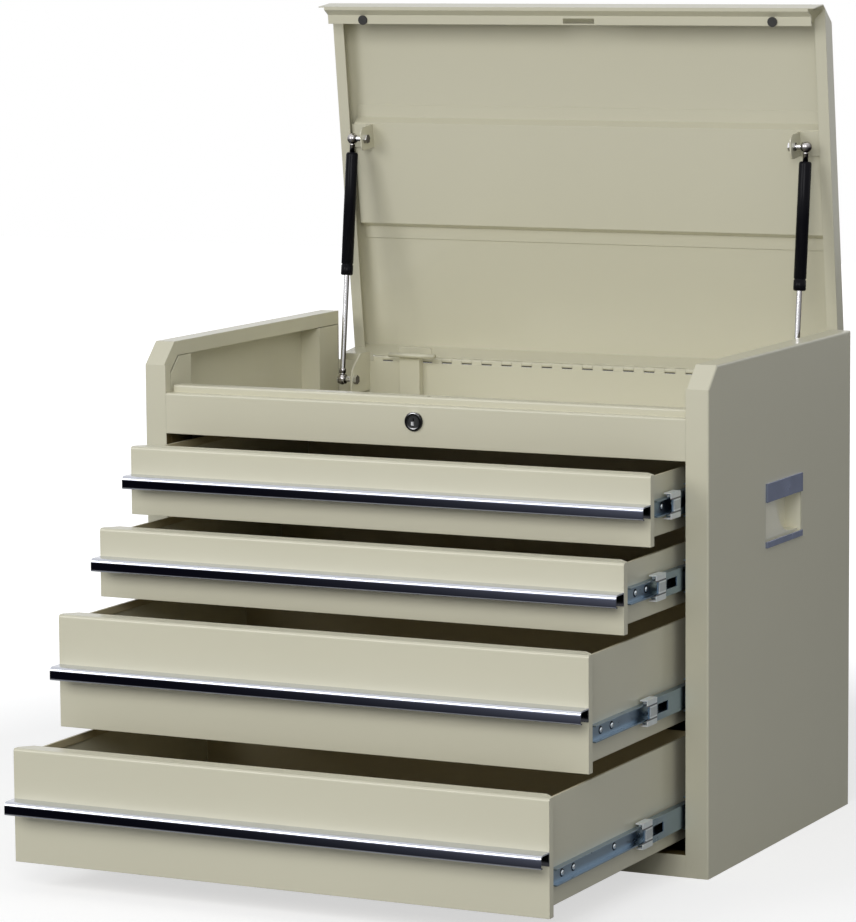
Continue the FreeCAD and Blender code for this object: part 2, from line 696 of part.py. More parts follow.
def lid_shell():
    """Lid folded from one sheet: chamfered front, shallow sides with lips, front flange and rod tab."""
    body = new_body("lid_shell")
    rim_front = "(edge_chamfer - lid_wall + sqrt(2) * lid_gauge)"
    outline = [
        ("0", LID_HEM),
        ("0", f"{TOP} - edge_chamfer"),
        ("edge_chamfer", TOP),
        (BACK, TOP),
        (BACK, LID_HEEL),
        (f"{BACK} - lid_gauge", LID_HEEL),
        (f"{BACK} - lid_gauge", LID_RIM),
        (rim_front, LID_RIM),
        ("lid_gauge", f"{TOP} - edge_chamfer - {MITRE} * lid_gauge"),
        ("lid_gauge", LID_HEM),
    ]
    hollow = [
        (f"{rim_front} - 1", f"{LID_RIM} - 1"),
        (f"edge_chamfer + {MITRE} * lid_gauge", LID_ROOF),
        (f"{BACK} - lid_gauge", LID_ROOF),
        (f"{BACK} - lid_gauge", f"{LID_RIM} - 1"),
    ]
    front_flange = [
        ("lid_gauge / 2", LID_HEM),
        ("hem_depth", LID_HEM),
        ("lid_flange_start", LID_FLANGE),
        ("lid_flange_end", LID_FLANGE),
        ("lid_flange_end", f"{LID_FLANGE} + lid_gauge"),
        ("lid_flange_start - lid_gauge / 2", f"{LID_FLANGE} + lid_gauge"),
        ("hem_depth - lid_gauge / 2", f"{LID_HEM} + lid_gauge"),
        ("lid_gauge / 2", f"{LID_HEM} + lid_gauge"),
    ]
    inside = f"({LID_SIDE} - lid_gauge)"
    lip_edge = f"({LID_SIDE} - lid_lip)"
    prism(body, "x", f"-{LID_SIDE}", LID_SIDE, outline)
    prism(body, "x", f"-{inside}", inside, hollow, "Pocket")
    lip_y = (rim_front, f"{BACK} - lid_gauge / 2")
    both_sides(body, (lip_edge, LID_SIDE), lip_y, (LID_RIM, f"{LID_RIM} + lid_gauge"))
    for sign in ("", "-1 * "):
        corner = [
            (f"{sign}({lip_edge} - 1)", f"{rim_front} + lid_gauge"),
            (f"{sign}({LID_SIDE} - 2)", f"{rim_front} + lid_gauge"),
            (f"{sign}({lip_edge} - 1)", f"{rim_front} + lid_lip"),
        ]
        prism(body, "z", f"{LID_RIM} - 1", f"{LID_RIM} + lid_gauge + 1", corner, "Pocket")
    flange_side = f"({LID_SIDE} - lid_flange_inset)"
    prism(body, "x", f"-{flange_side}", flange_side, front_flange)
    slot_y = (f"{CAM_FACE} - latch_slot_play / 2", f"{CAM_FACE} + cam_gauge + latch_slot_play")
    slot_z = (f"{LID_FLANGE} - 1", f"{LID_FLANGE} + lid_gauge + 1")
    block(body, ("lid_slot_start", "lid_slot_end"), slot_y, slot_z, "Pocket")
    for sign in ("", "-1 * "):
        centre = (f"{sign}bumper_spread", "bumper_place")
        disc(body, "z", slot_z[0], slot_z[1], centre, "bumper_stem + running_gap", "Pocket")
    tab_z = (f"{LID_HEEL} + hook_gap", f"{LID_HEEL} + hook_gap + lid_gauge")
    block(body, rod_width("tab_side"), (ROD_WEB, f"{BACK} - lid_gauge / 2"), tab_z)
    lower_z = f"{TOP} - edge_chamfer"
    lower_edge = ((f"-{LID_SIDE}", "0", lower_z), (LID_SIDE, "0", lower_z))
    upper_edge = ((f"-{LID_SIDE}", "edge_chamfer", TOP), (LID_SIDE, "edge_chamfer", TOP))
    soften(body, "lid_bend", lower_edge, upper_edge)
    raise_lid(body)


def lid_stiffener():
    """Hat-shaped rib across the inside of the lid. Its face is left bare."""
    body = new_body("lid_stiffener")
    centre = f"({PIN_Y} - rib_reach)"
    front = f"({centre} - rib_face / 2)"
    rear = f"({centre} + rib_face / 2)"
    under = f"{LID_ROOF} - lid_gauge"
    profile = [
        (f"{front} - rib_slope - rib_foot", LID_ROOF),
        (f"{front} - rib_slope", LID_ROOF),
        (front, f"{RIB_FACE} + lid_gauge"),
        (rear, f"{RIB_FACE} + lid_gauge"),
        (f"{rear} + rib_slope", LID_ROOF),
        (f"{rear} + rib_slope + rib_foot", LID_ROOF),
        (f"{rear} + rib_slope + rib_foot", under),
        (f"{rear} + rib_slope + lid_gauge", under),
        (f"{rear} + lid_gauge", RIB_FACE),
        (f"{front} - lid_gauge", RIB_FACE),
        (f"{front} - rib_slope - lid_gauge", under),
        (f"{front} - rib_slope - rib_foot", under),
    ]
    half = f"({LID_SIDE} - rib_side_gap)"
    prism(body, "x", f"-{half}", half, profile)
    raise_lid(body)


def lid_bumpers():
    """Rubber bumpers under the lid's front flange, pushed through by their stems."""
    body = new_body("lid_bumper", label=False)
    centre = ("bumper_spread", "bumper_place")
    disc(body, "z", f"{LEDGE} + bumper_gap", LID_FLANGE, centre, "bumper_radius")
    disc(body, "z", LID_FLANGE, f"{LID_FLANGE} + 2 * lid_gauge", centre, "bumper_stem")
    raise_lid(body)
    instance("lid_bumpers", with_images(body))


def strut_ends():
    """Brackets and studs that the gas struts hang on, under the lid and on the back panel."""
    far_side = f"({PLATE} - strut_plate)"
    bore = "stud_radius + running_gap"

    upper = new_body("strut_upper_bracket", label=False)
    front = f"({STRUT_HEAD[0]} - upper_bracket_width / 2)"
    rear = f"({STRUT_HEAD[0]} + upper_bracket_width / 2)"
    drop = f"({STRUT_HEAD[1]} - upper_bracket_drop)"
    block(upper, (far_side, PLATE), (front, rear), (drop, RIB_FACE))
    flange_x = (far_side, f"{far_side} + bracket_flange")
    block(upper, flange_x, (front, rear), (f"{RIB_FACE} - strut_plate", RIB_FACE))
    front_corner = ((far_side, front, drop), (PLATE, front, drop))
    rear_corner = ((far_side, rear, drop), (PLATE, rear, drop))
    soften(upper, "bracket_corner", front_corner, rear_corner)
    disc(upper, "x", f"{far_side} - 1", f"{PLATE} + 1", STRUT_HEAD, bore, "Pocket")
    raise_lid(upper)
    instance("strut_upper_brackets", with_images(upper))

    lower = new_body("strut_lower_bracket", label=False)
    edge = f"({STRUT_FOOT[0]} - lower_bracket_front)"
    low = f"({STRUT_FOOT[1]} - lower_bracket_drop)"
    high = f"({STRUT_FOOT[1]} + lower_bracket_rise)"
    wall = f"({BACK_FACE} - fit_gap)"
    plate = [
        (edge, low),
        (edge, f"{STRUT_FOOT[1]} + bracket_corner / 2"),
        (f"{edge} + bracket_corner / 3", f"{STRUT_FOOT[1]} + bracket_corner * 4 / 3"),
        (f"{edge} + bracket_corner", f"{STRUT_FOOT[1]} + bracket_corner * 2"),
        (f"{edge} + 3 * bracket_corner", high),
        (wall, high),
        (wall, low),
    ]
    flange_y = (f"{BACK_FACE} - strut_plate", BACK_FACE)
    flange_z = (low, f"{HINGE} - slot_gap")
    prism(lower, "x", far_side, PLATE, plate)
    block(lower, (far_side, f"{far_side} + lower_bracket_flange"), flange_y, flange_z)
    disc(lower, "x", f"{far_side} - 1", f"{PLATE} + 1", STRUT_FOOT, bore, "Pocket")
    instance("strut_lower_brackets", with_images(lower))

    shank_start = f"({far_side} - nut_width / 2)"
    shank_end = f"({STRUT_X} - eye_half - strut_end_gap)"
    upper_stud = new_body("strut_upper_stud", label=False)
    disc(upper_stud, "x", shank_start, shank_end, STRUT_HEAD, "stud_radius")
    lower_stud = new_body("strut_lower_stud", label=False)
    disc(lower_stud, "x", shank_start, shank_end, STRUT_FOOT, "stud_radius")
    ball_end = f"{STRUT_X} + eye_half + 2 * strut_end_gap"
    disc(lower_stud, "x", shank_end, ball_end, STRUT_FOOT, "ball_radius")
    for stud, centre in ((upper_stud, STRUT_HEAD), (lower_stud, STRUT_FOOT)):
        prism(stud, "x", f"{far_side} - nut_width", far_side, regular(centre, "nut_radius"))
        prism(stud, "x", PLATE, f"{PLATE} + collar_width", regular(centre, "collar_radius"))
    raise_lid(upper_stud)
    instance("strut_upper_studs", with_images(upper_stud))
    instance("strut_lower_studs", with_images(lower_stud))


def strut_line():
    """Length and backward lean of the open strut, from its foot to its head on the raised lid."""
    above = f"({STRUT_HEAD[1]} - {HINGE})"
    head_y = f"({PIN_Y} - strut_head_reach * cos(lid_angle) + {above} * sin(lid_angle))"
    head_z = f"({HINGE} + strut_head_reach * sin(lid_angle) + {above} * cos(lid_angle))"
    back = f"({head_y} - {STRUT_FOOT[0]})"
    rise = f"({head_z} - {STRUT_FOOT[1]})"
    length = f"sqrt({back} * {back} + {rise} * {rise})"
    lean = f"-1 * atan({back} / {rise})"
    return length, lean


def struts():
    """Gas struts: a rod with an eye at the foot, sliding in a tube with an eye at the head."""
    length, lean = strut_line()
    eye = ("-1 * eye_half", "eye_half")

    rod = doc.addObject("PartDesign::Body", "right_strut_rod")
    disc(rod, "x", eye[0], eye[1], ("0", "0"), "eye_radius")
    disc(rod, "z", "0", "rod_length", ("0", "0"), "rod_radius")
    disc(rod, "x", f"{eye[0]} - 1", f"{eye[1]} + 1", ("0", "0"), "ball_radius + running_gap", "Pocket")

    tube = doc.addObject("PartDesign::Body", "right_strut_tube")
    shoulder = f"({length} - tube_neck)"
    mouth = f"({shoulder} - tube_length)"
    disc(tube, "z", mouth, shoulder, ("0", "0"), "tube_radius")
    disc(tube, "z", shoulder, length, ("0", "0"), "tube_neck_radius")
    disc(tube, "x", eye[0], eye[1], ("0", length), "eye_radius")
    disc(tube, "x", f"{eye[0]} - 1", f"{eye[1]} + 1", ("0", length), "ball_radius + running_gap", "Pocket")
    bore_end = f"{shoulder} - tube_end_wall"
    rod_bore = regular(("0", "0"), "(rod_radius + running_gap) / cos(22.5)", 8)
    prism(tube, "z", mouth, bore_end, rod_bore, "Pocket")

    for piece, part in ((rod, "strut_rod"), (tube, "strut_tube")):
        place(piece, STRUT_X, *STRUT_FOOT, lean)
        finish(piece, f"right_{part}")
        finish(mirrored(piece, f"left_{part}"), f"left_{part}")


def drawer_front(size, height):
    """Front folded into a shallow pan: deep top flange with mitred ends, narrow flanges elsewhere."""
    body = new_body(f"{size}_front", label=False)
    profile = [
        ("0", "0"),
        ("0", height),
        ("front_top_flange", height),
        ("front_top_flange", f"{height} - drawer_gauge"),
        ("drawer_gauge", f"{height} - drawer_gauge"),
        ("drawer_gauge", "drawer_gauge"),
        ("front_edge_flange", "drawer_gauge"),
        ("front_edge_flange", "0"),
    ]
    prism(body, "x", f"-{FRONT_SIDE}", FRONT_SIDE, profile)
    end_x = (f"{FRONT_SIDE} - drawer_gauge", FRONT_SIDE)
    both_sides(body, end_x, ("drawer_gauge / 2", "front_edge_flange"), ("0", height))
    run = "(front_top_flange - front_edge_flange)"
    for sign in ("", "-1 * "):
        mitre = [
            (f"{sign}({FRONT_SIDE} + 1)", "front_edge_flange - 1"),
            (f"{sign}({FRONT_SIDE} - {run} - 1)", "front_top_flange + 1"),
            (f"{sign}({FRONT_SIDE} + 1)", "front_top_flange + 1"),
        ]
        prism(body, "z", f"{height} - 2 * drawer_gauge", f"{height} + 1", mitre, "Pocket")
    soften(body, "front_bend", ((f"-{FRONT_SIDE}", "0", height), (FRONT_SIDE, "0", height)))
    return body


def drawer_tray(size, height):
    """Drawer body: folded tray with hemmed sides, and the hook that the lock rod drops in front of."""
    body = new_body(f"{size}_tray", label=False)
    top = f"({height} - tray_top_drop)"
    inside = f"({TRAY_SIDE} - drawer_gauge)"
    block(body, (f"-{TRAY_SIDE}", TRAY_SIDE), ("drawer_gauge", TRAY_END), ("tray_floor_rise", top))
    inner_y = ("2 * drawer_gauge", f"{TRAY_END} - drawer_gauge")
    inner_z = ("tray_floor_rise + drawer_gauge", f"{top} + 1")
    block(body, (f"-{inside}", inside), inner_y, inner_z, "Pocket")
    hem_x = (f"{TRAY_SIDE} - hem_width", TRAY_SIDE)
    both_sides(body, hem_x, ("drawer_gauge", TRAY_END), (f"{top} - hem_height", top))
    hook = "(lock_rod_place - finger_width / 2)"
    hook_x = (hook, f"{hook} + finger_width")
    plate_z = f"({height} / 2)"
    block(body, hook_x, (f"{TRAY_END} - drawer_gauge / 2", HOOK_TIP), (plate_z, f"{plate_z} + hook_wall"))
    block(body, hook_x, (f"{HOOK_TIP} - hook_lip_wall", HOOK_TIP), (plate_z, f"{plate_z} + hook_lip"))
    foot_y = (f"{TRAY_END} - drawer_gauge / 2", f"{TRAY_END} + hook_wall")
    block(body, hook_x, foot_y, (f"{plate_z} - hem_height", f"{plate_z} + hook_wall"))
    floor_edges = []
    for sign in ("", "-"):
        low = (f"{sign}{TRAY_SIDE}", "drawer_gauge", "tray_floor_rise")
        floor_edges.append((low, (f"{sign}{TRAY_SIDE}", TRAY_END, "tray_floor_rise")))
    soften(body, "drawer_gauge * 3 / 2", *floor_edges)
    return body


def drawer_pull():
    """Full-width extruded pull: flange on the front, web out to a rounded nose and a turned-in lip."""
    body = new_body("pull", label=False)
    top = "(pull_height / 2)"
    bottom = "(-1 * pull_height / 2)"
    nose = "(-1 * pull_reach)"
    profile = [
        ("0", top),
        (nose, top),
        (nose, bottom),
        (f"{nose} + pull_lip", bottom),
        (f"{nose} + pull_lip", f"{bottom} + pull_lip_wall"),
        (f"{nose} + pull_wall", f"{bottom} + pull_lip_wall"),
        (f"{nose} + pull_wall", f"{top} - pull_wall"),
        ("-1 * pull_wall", f"{top} - pull_wall"),
        ("-1 * pull_wall", bottom),
        ("0", bottom),
    ]
    prism(body, "x", f"-{FRONT_SIDE}", FRONT_SIDE, profile)
    inner_y = f"{nose} + pull_wall"
    inner_z = f"{top} - pull_wall"
    soften(body, "pull_nose", ((f"-{FRONT_SIDE}", nose, top), (FRONT_SIDE, nose, top)))
    inner_edge = ((f"-{FRONT_SIDE}", inner_y, inner_z), (FRONT_SIDE, inner_y, inner_z))
    soften(body, "pull_nose - pull_wall", inner_edge)
    soften(body, "pull_lip_wall", ((f"-{FRONT_SIDE}", nose, bottom), (FRONT_SIDE, nose, bottom)))
    return body


def channel(body, edge, web, half, gauge, start, end, rise):
    """Length of slide member: a web and two flanges that reach from it to `edge`."""
    step = f"{web} + {gauge}" if number(edge) > number(web) else f"{web} - {gauge}"
    profile = [
        (edge, f"{rise} - {half}"),
        (web, f"{rise} - {half}"),
        (web, f"{rise} + {half}"),
        (edge, f"{rise} + {half}"),
        (edge, f"{rise} + {half} - {gauge}"),
        (step, f"{rise} + {half} - {gauge}"),
        (step, f"{rise} - {half} + {gauge}"),
        (edge, f"{rise} - {half} + {gauge}"),
    ]
    prism(body, "y", start, end, profile)


def slide_outer():
    """Cabinet member of the right-hand slide, fixed to the uprights."""
    body = new_body("slide_outer", label=False)
    edge = f"({OPENING} - slide_outer_flange)"
    start = "slide_outer_start"
    channel(body, edge, OPENING, "slide_outer_half", "slide_gauge", start, SLIDE_END, "slide_rise")
    return body


def slide_inner():
    """Drawer member of the right-hand slide, screwed to the tray's side."""
    body = new_body("slide_inner", label=False)
    end = f"({SLIDE_END} - inner_rear_gap)"
    edge = f"({TRAY_SIDE} + slide_inner_flange)"
    channel(body, edge, TRAY_SIDE, "slide_inner_half", "slide_gauge", "slide_inner_start", end, "slide_rise")
    for where in ("screw_first", "screw_second", "screw_third"):
        hole = regular((where, "slide_rise"), "screw_radius", 8)
        prism(body, "x", f"{TRAY_SIDE} - 1", f"{TRAY_SIDE} + slide_gauge + 1", hole, "Pocket")
    return body


def slide_middle():
    """Middle member of the right-hand slide, with the slot for its release lever."""
    body = new_body("slide_middle", label=False)
    start = "(slide_middle_start + middle_setback)"
    channel(body, MIDDLE_EDGE, MIDDLE_WEB, "slide_middle_half", "slide_gauge", start, MIDDLE_END, "slide_rise")
    lever = "(slide_middle_start + lever_start)"
    lever_z = ("slide_rise - lever_half", "slide_rise + lever_half")
    web_x = (f"{MIDDLE_WEB} - slide_gauge - 1", f"{MIDDLE_WEB} + 1")
    block(body, web_x, (lever, f"{lever} + lever_length"), lever_z, "Pocket")
    return body


def slide_cages():
    """Plastic nose over the middle member's front end, and the four ball cages along its races."""
    nose = new_body("slide_nose", label=False)
    nose_end = "(slide_middle_start + nose_length)"
    cap = "(slide_middle_half + nose_cap)"
    face = f"({MIDDLE_WEB} + nose_wall)"
    channel(nose, MIDDLE_EDGE, face, cap, "nose_wall", "slide_middle_start", nose_end, "slide_rise")
    inner_z = ("slide_rise - slide_middle_half", "slide_rise + slide_middle_half")
    behind = ("slide_middle_start + middle_setback", nose_end)
    block(nose, (f"{MIDDLE_EDGE} - 1", MIDDLE_WEB), behind, inner_z, "Pocket")
    window_z = ("slide_rise - nose_window_half", "slide_rise + nose_window_half")
    window_y = ("slide_middle_start - 1", "slide_middle_start + nose_window")
    block(nose, (f"{MIDDLE_EDGE} - 1", f"{face} + 1"), window_y, window_z, "Pocket")

    race = "(slide_outer_half - slide_gauge - cage_gap)"
    well = "(slide_inner_half + cage_gap)"
    seat = "(slide_middle_half - slide_gauge)"
    cage_x = (f"{MIDDLE_EDGE} + 1", f"{MIDDLE_EDGE} + 1 + cage_width")
    rear_y = (f"{MIDDLE_END} - cage_length", MIDDLE_END)
    front_y = ("slide_middle_start + middle_setback", "slide_middle_start + middle_setback + cage_length")
    rows = {
        "upper_rear": (rear_y, ("slide_rise + slide_middle_half", f"slide_rise + {race}")),
        "lower_rear": (rear_y, (f"slide_rise - {race}", "slide_rise - slide_middle_half")),
        "upper_front": (front_y, (f"slide_rise + {well}", f"slide_rise + {seat}")),
        "lower_front": (front_y, (f"slide_rise - {seat}", f"slide_rise - {well}")),
    }
    cages = [nose]
    for row, (along, height) in rows.items():
        cage = new_body(f"{row}_cage", label=False)
        block(cage, cage_x, along, height)
        cages.append(cage)
    return cages


def drawers():
    """Four drawers from one set of drawn pieces, each set at its height and the distance it stands out."""
    fronts = {}
    trays = {}
    for size in ("shallow", "deep"):
        fronts[size] = drawer_front(size, f"{size}_height")
        trays[size] = drawer_tray(size, f"{size}_height")
    pull = drawer_pull()
    outer = with_images(slide_outer())
    middle = with_images(slide_middle())
    cages = with_images(*slide_cages())
    inner = with_images(slide_inner())
    for count, (size, bottom, out, middle_out) in DRAWERS.items():
        name = f"drawer_{count}"
        instance(f"{name}_front", [fronts[size]], f"-1 * {out}", bottom)
        instance(f"{name}_tray", [trays[size]], f"-1 * {out}", bottom)
        instance(f"{name}_pull", [pull], f"-1 * {out}", f"{bottom} + {size}_height / 2")
        instance(f"{name}_slide_inner", inner, f"-1 * {out}", bottom)
        instance(f"{name}_slide_middle", middle, f"-1 * {middle_out}", bottom)
        instance(f"{name}_slide_cages", cages, f"-1 * {middle_out}", bottom)
        instance(f"{name}_slide_outer", outer, "0", bottom)


def lock():
    """Lock in the front rail: barrel with its bezel, nut, turning plug and the claw that holds the lid."""
    centre = LOCK
    barrel = new_body("lock_barrel")
    disc(barrel, "y", "-1 * bezel_stand", "0", centre, "bezel_radius")
    prism(barrel, "y", "0", "barrel_length", regular(centre, "barrel_radius", 8))
    plug_bore = "plug_radius + running_gap"
    disc(barrel, "y", "-1 * bezel_stand - 1", "barrel_length + 1", centre, plug_bore, "Pocket")

    nut = new_body("lock_nut")
    nut_y = ("panel_gauge", "panel_gauge + lock_nut_width")
    prism(nut, "y", nut_y[0], nut_y[1], regular(centre, "lock_nut_radius"))
    nut_bore = regular(centre, "(barrel_radius + running_gap)", 8)
    prism(nut, "y", nut_y[0] + " - 1", nut_y[1] + " + 1", nut_bore, "Pocket")

    plug = new_body("lock_plug")
    face = "(plug_setback - bezel_stand)"
    disc(plug, "y", face, CAM_FACE, centre, "plug_radius")
    key_x = ("lock_place - key_width / 2", "lock_place + key_width / 2")
    key_z = (f"{LOCK[1]} - key_height / 2", f"{LOCK[1]} + key_height / 2")
    block(plug, key_x, (f"{face} - 1", f"{face} + key_depth"), key_z, "Pocket")

    cam = new_body("lock_cam")
    cam_y = (CAM_FACE, f"({CAM_FACE} + cam_gauge)")
    disc(cam, "y", cam_y[0], cam_y[1], centre, "cam_reach", hole="cam_reach - claw_width")
    waste = [centre]
    for step in range(7):
        turn = f"(claw_start + claw_sweep + (360 - claw_sweep) * {step} / 6)"
        reach = "(2 * cam_reach)"
        waste.append((f"lock_place + {reach} * cos({turn})", f"{LOCK[1]} + {reach} * sin({turn})"))
    prism(cam, "y", f"{cam_y[0]} - 1", f"{cam_y[1]} + 1", waste, "Pocket")
    arm = []
    for along, across in ((0, -1), (1, -1), (1, 1), (0, 1)):
        length = f"{along} * (cam_reach - claw_width / 2)"
        width = f"{across} * cam_arm / 2"
        east = f"lock_place + {length} * cos(claw_start) - {width} * sin(claw_start)"
        north = f"{LOCK[1]} + {length} * sin(claw_start) + {width} * cos(claw_start)"
        arm.append((east, north))
    prism(cam, "y", cam_y[0], cam_y[1], arm)
    disc(cam, "y", cam_y[0], cam_y[1], centre, "plug_radius + 1")


def lock_rod():
    """Channel that the shutting lid pushes down behind the drawers, and the studs that it rides on."""
    rod = new_body("lock_rod")
    sides = rod_width("0")
    web = (ROD_WEB, f"{ROD_WEB} + panel_gauge")
    rear = f"{BACK_FACE} - hook_gap / 5"
    rod_z = ("lock_rod_foot", f"{HINGE} + lock_rod_rise")
    profile = [
        (sides[0], web[0]),
        (sides[1], web[0]),
        (sides[1], rear),
        (f"{sides[1]} - panel_gauge", rear),
        (f"{sides[1]} - panel_gauge", web[1]),
        (f"{sides[0]} + panel_gauge", web[1]),
        (f"{sides[0]} + panel_gauge", rear),
        (sides[0], rear),
    ]
    prism(rod, "z", rod_z[0], rod_z[1], profile)
    finger = "(lock_rod_place - finger_width / 2)"
    finger_x = (finger, f"{finger} + finger_width")
    tip = f"({ROD_WEB} - finger_reach)"
    for size, bottom, out, middle_out in DRAWERS.values():
        low = f"({bottom} + {size}_height / 2 + hook_lip + hook_gap)"
        high = f"({low} + finger_drop)"
        block(rod, finger_x, (tip, f"{ROD_WEB} + panel_gauge / 2"), (f"{high} - hook_wall", high))
        block(rod, finger_x, (tip, f"{tip} + hook_lip_wall"), (low, high))
    for stud in ("guide_low", "guide_high"):
        slot_half = "(guide_radius + 2 * running_gap)"
        slot_x = (f"lock_rod_place - {slot_half}", f"lock_rod_place + {slot_half}")
        slot_z = (f"{stud} - {slot_half}", f"{stud} + {slot_half} + lock_travel")
        block(rod, slot_x, (f"{web[0]} - 1", f"{web[1]} + 1"), slot_z, "Pocket")

    studs = []
    for stud in ("guide_low", "guide_high"):
        body = new_body(f"lock_rod_{stud}", label=False)
        centre = ("lock_rod_place", stud)
        head = f"({ROD_WEB} - hook_gap / 5)"
        disc(body, "y", head, BACK_FACE, centre, "guide_radius")
        prism(body, "y", f"{head} - guide_head_width", head, regular(centre, "guide_head", 8))
        studs.append(body)
    instance("lock_rod_studs", studs)


def side_handles():
    """Recessed handles: a pressed cup behind each side's opening, a grip over its top and a lip below."""
    cup = new_body("side_handle_cup", label=False)
    floor = f"({LINING} - cup_depth)"
    front = "(handle_front + handle_edge)"
    rear = f"({HANDLE_REAR} - handle_edge)"
    low = "(handle_bottom + lip_height / 2)"
    high = "(handle_top - grip_curl)"
    rim_y = (f"{front} - cup_border", f"{rear} + cup_border")
    rim_z = (f"{low} - cup_border", f"{high} + cup_border")
    dish_y = ("handle_front + dish_setback", rear)
    dish_z = (f"{low} + dish_rise", high)
    bulge_y = (f"{dish_y[0]} - panel_gauge", f"{dish_y[1]} + panel_gauge")
    bulge_z = (f"{dish_z[0]} - panel_gauge", f"{dish_z[1]} + panel_gauge")
    back = f"({floor} - dish_depth)"
    well = f"({back} + panel_gauge)"
    block(cup, (floor, LINING), rim_y, rim_z)
    block(cup, (back, f"{floor} + panel_gauge / 2"), bulge_y, bulge_z)
    block(cup, (f"{floor} + panel_gauge", SIDE), (front, rear), (low, high), "Pocket")
    block(cup, (well, SIDE), dish_y, dish_z, "Pocket")
    soften(cup, "dish_corner", ((well, dish_y[0], dish_z[0]), (SIDE, dish_y[0], dish_z[0])))
    soften(cup, "dish_corner + panel_gauge", ((back, bulge_y[0], bulge_z[0]), (floor, bulge_y[0], bulge_z[0])))
    instance("side_handle_cups", with_images(cup))

    grip = new_body("side_handle_grip", label=False)
    under = "(handle_top - grip_height)"
    profile = [
        (SIDE, "handle_top"),
        (f"{SIDE} + grip_stand", "handle_top"),
        (f"{SIDE} + grip_stand", under),
        (f"{SIDE} - cup_depth", under),
        (f"{SIDE} - cup_depth", f"{under} + grip_curl_height"),
        (f"{SIDE} - cup_depth + panel_gauge", f"{under} + grip_curl_height"),
        (f"{SIDE} - cup_depth + panel_gauge", f"{under} + panel_gauge"),
        (SIDE, f"{under} + panel_gauge"),
    ]
    prism(grip, "y", front, rear, profile)
    lip = new_body("side_handle_lip", label=False)
    block(lip, (SIDE, f"{SIDE} + grip_stand"), (front, rear), ("handle_bottom", "handle_bottom + lip_height"))
    instance("side_handle_grips", with_images(grip, lip))


def check_and_write():
    """Stop on any failed object or bad shape, then write each sub-part to its own file."""
    doc.recompute()
    for item in doc.Objects:
        if "Invalid" in item.State or "Error" in item.State:
            raise RuntimeError(f"{item.Label} failed: {item.State}")
    for piece in nodes:
        if piece.Shape.isNull() or not piece.Shape.isValid():
            raise RuntimeError(f"{piece.Label} has no valid shape")
    os.makedirs("parts", exist_ok=True)
    for piece in nodes:
        piece.Shape.exportStep(f"parts/{piece.Label}.step")
        print(f"{piece.Label}: {len(piece.Shape.Solids)} solids, {piece.Shape.Volume:.0f} cubic mm")


side_panel()
back_panel()
bottom_panel()
front_top_rail()
front_bottom_rail()
till_floor()
upright("front_uprights", "upright_inset", FRONT_UPRIGHT_END)
upright("rear_uprights", REAR_UPRIGHT, REAR_UPRIGHT_END)
piano_hinge()
lid_shell()
lid_stiffener()
lid_bumpers()
strut_ends()
struts()
drawers()
lock()
lock_rod()
side_handles()
check_and_write()
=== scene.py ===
"""Machinist's top chest in cream enamel, drawers and lid open, on a plain floor."""

import bmesh
import bpy
import numpy as np
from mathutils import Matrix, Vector


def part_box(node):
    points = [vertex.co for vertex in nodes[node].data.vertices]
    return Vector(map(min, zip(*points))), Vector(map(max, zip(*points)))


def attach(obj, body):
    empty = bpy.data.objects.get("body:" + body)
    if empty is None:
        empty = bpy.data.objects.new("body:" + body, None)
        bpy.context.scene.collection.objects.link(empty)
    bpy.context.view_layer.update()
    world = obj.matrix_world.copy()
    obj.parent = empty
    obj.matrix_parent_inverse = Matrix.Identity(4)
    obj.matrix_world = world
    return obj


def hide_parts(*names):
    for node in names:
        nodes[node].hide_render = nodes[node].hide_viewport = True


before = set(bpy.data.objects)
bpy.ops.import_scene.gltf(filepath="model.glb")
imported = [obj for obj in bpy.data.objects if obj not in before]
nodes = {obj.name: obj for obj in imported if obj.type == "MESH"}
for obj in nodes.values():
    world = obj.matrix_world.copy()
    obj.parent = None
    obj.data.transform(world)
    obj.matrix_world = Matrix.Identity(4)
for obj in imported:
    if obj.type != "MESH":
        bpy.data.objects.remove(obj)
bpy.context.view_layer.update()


# Cabinet. Cold-rolled sheet about 1.2 mm thick, blanked, folded and spot-welded into a box, then sprayed
# with cream enamel and baked. The paint is glossy with a fine orange peel over rounded folds. The hollow
# that the drawers slide into is coloured a dull dark brown, as painted shade.
class Socket:
    """One output of a shader node, with arithmetic that adds the nodes for it."""

    def __init__(self, sheet, output):
        self.sheet = sheet
        self.output = output

    def combine(self, operation, *others):
        return self.sheet.node("ShaderNodeMath", 0, {"operation": operation}, *others)

    def __add__(self, other):
        return self.combine("ADD", self, other)

    def __sub__(self, other):
        return self.combine("SUBTRACT", self, other)

    def __rsub__(self, other):
        return self.combine("SUBTRACT", other, self)

    def __mul__(self, other):
        return self.combine("MULTIPLY", self, other)

    def __truediv__(self, other):
        return self.combine("DIVIDE", self, other)

    def __pow__(self, other):
        return self.combine("POWER", self, other)

    def above(self, level):
        return self.combine("GREATER_THAN", self, level)

    def below(self, level):
        return self.combine("LESS_THAN", self, level)

    def size(self):
        return self.combine("ABSOLUTE", self)

    def clamped(self):
        return self.sheet.node("ShaderNodeClamp", 0, {}, self)

    __radd__ = __add__
    __rmul__ = __mul__


class Sheet:
    """A tree of shader nodes, to which one method adds any node."""

    def __init__(self, tree):
        self.tree = tree

    def node(self, kind, output, settings, *values, **named):
        """Add any node: its settings first, then values or links by position or by name."""
        made = self.tree.nodes.new(kind)
        for key, value in settings.items():
            setattr(made, key, value)
        pairs = list(zip(made.inputs, values))
        pairs += [(made.inputs[key.replace("_", " ")], value) for key, value in named.items()]
        for socket, value in pairs:
            if isinstance(value, Socket):
                self.tree.links.new(value.output, socket)
            elif value is not None:
                socket.default_value = value
        return Socket(self, made.outputs[output])


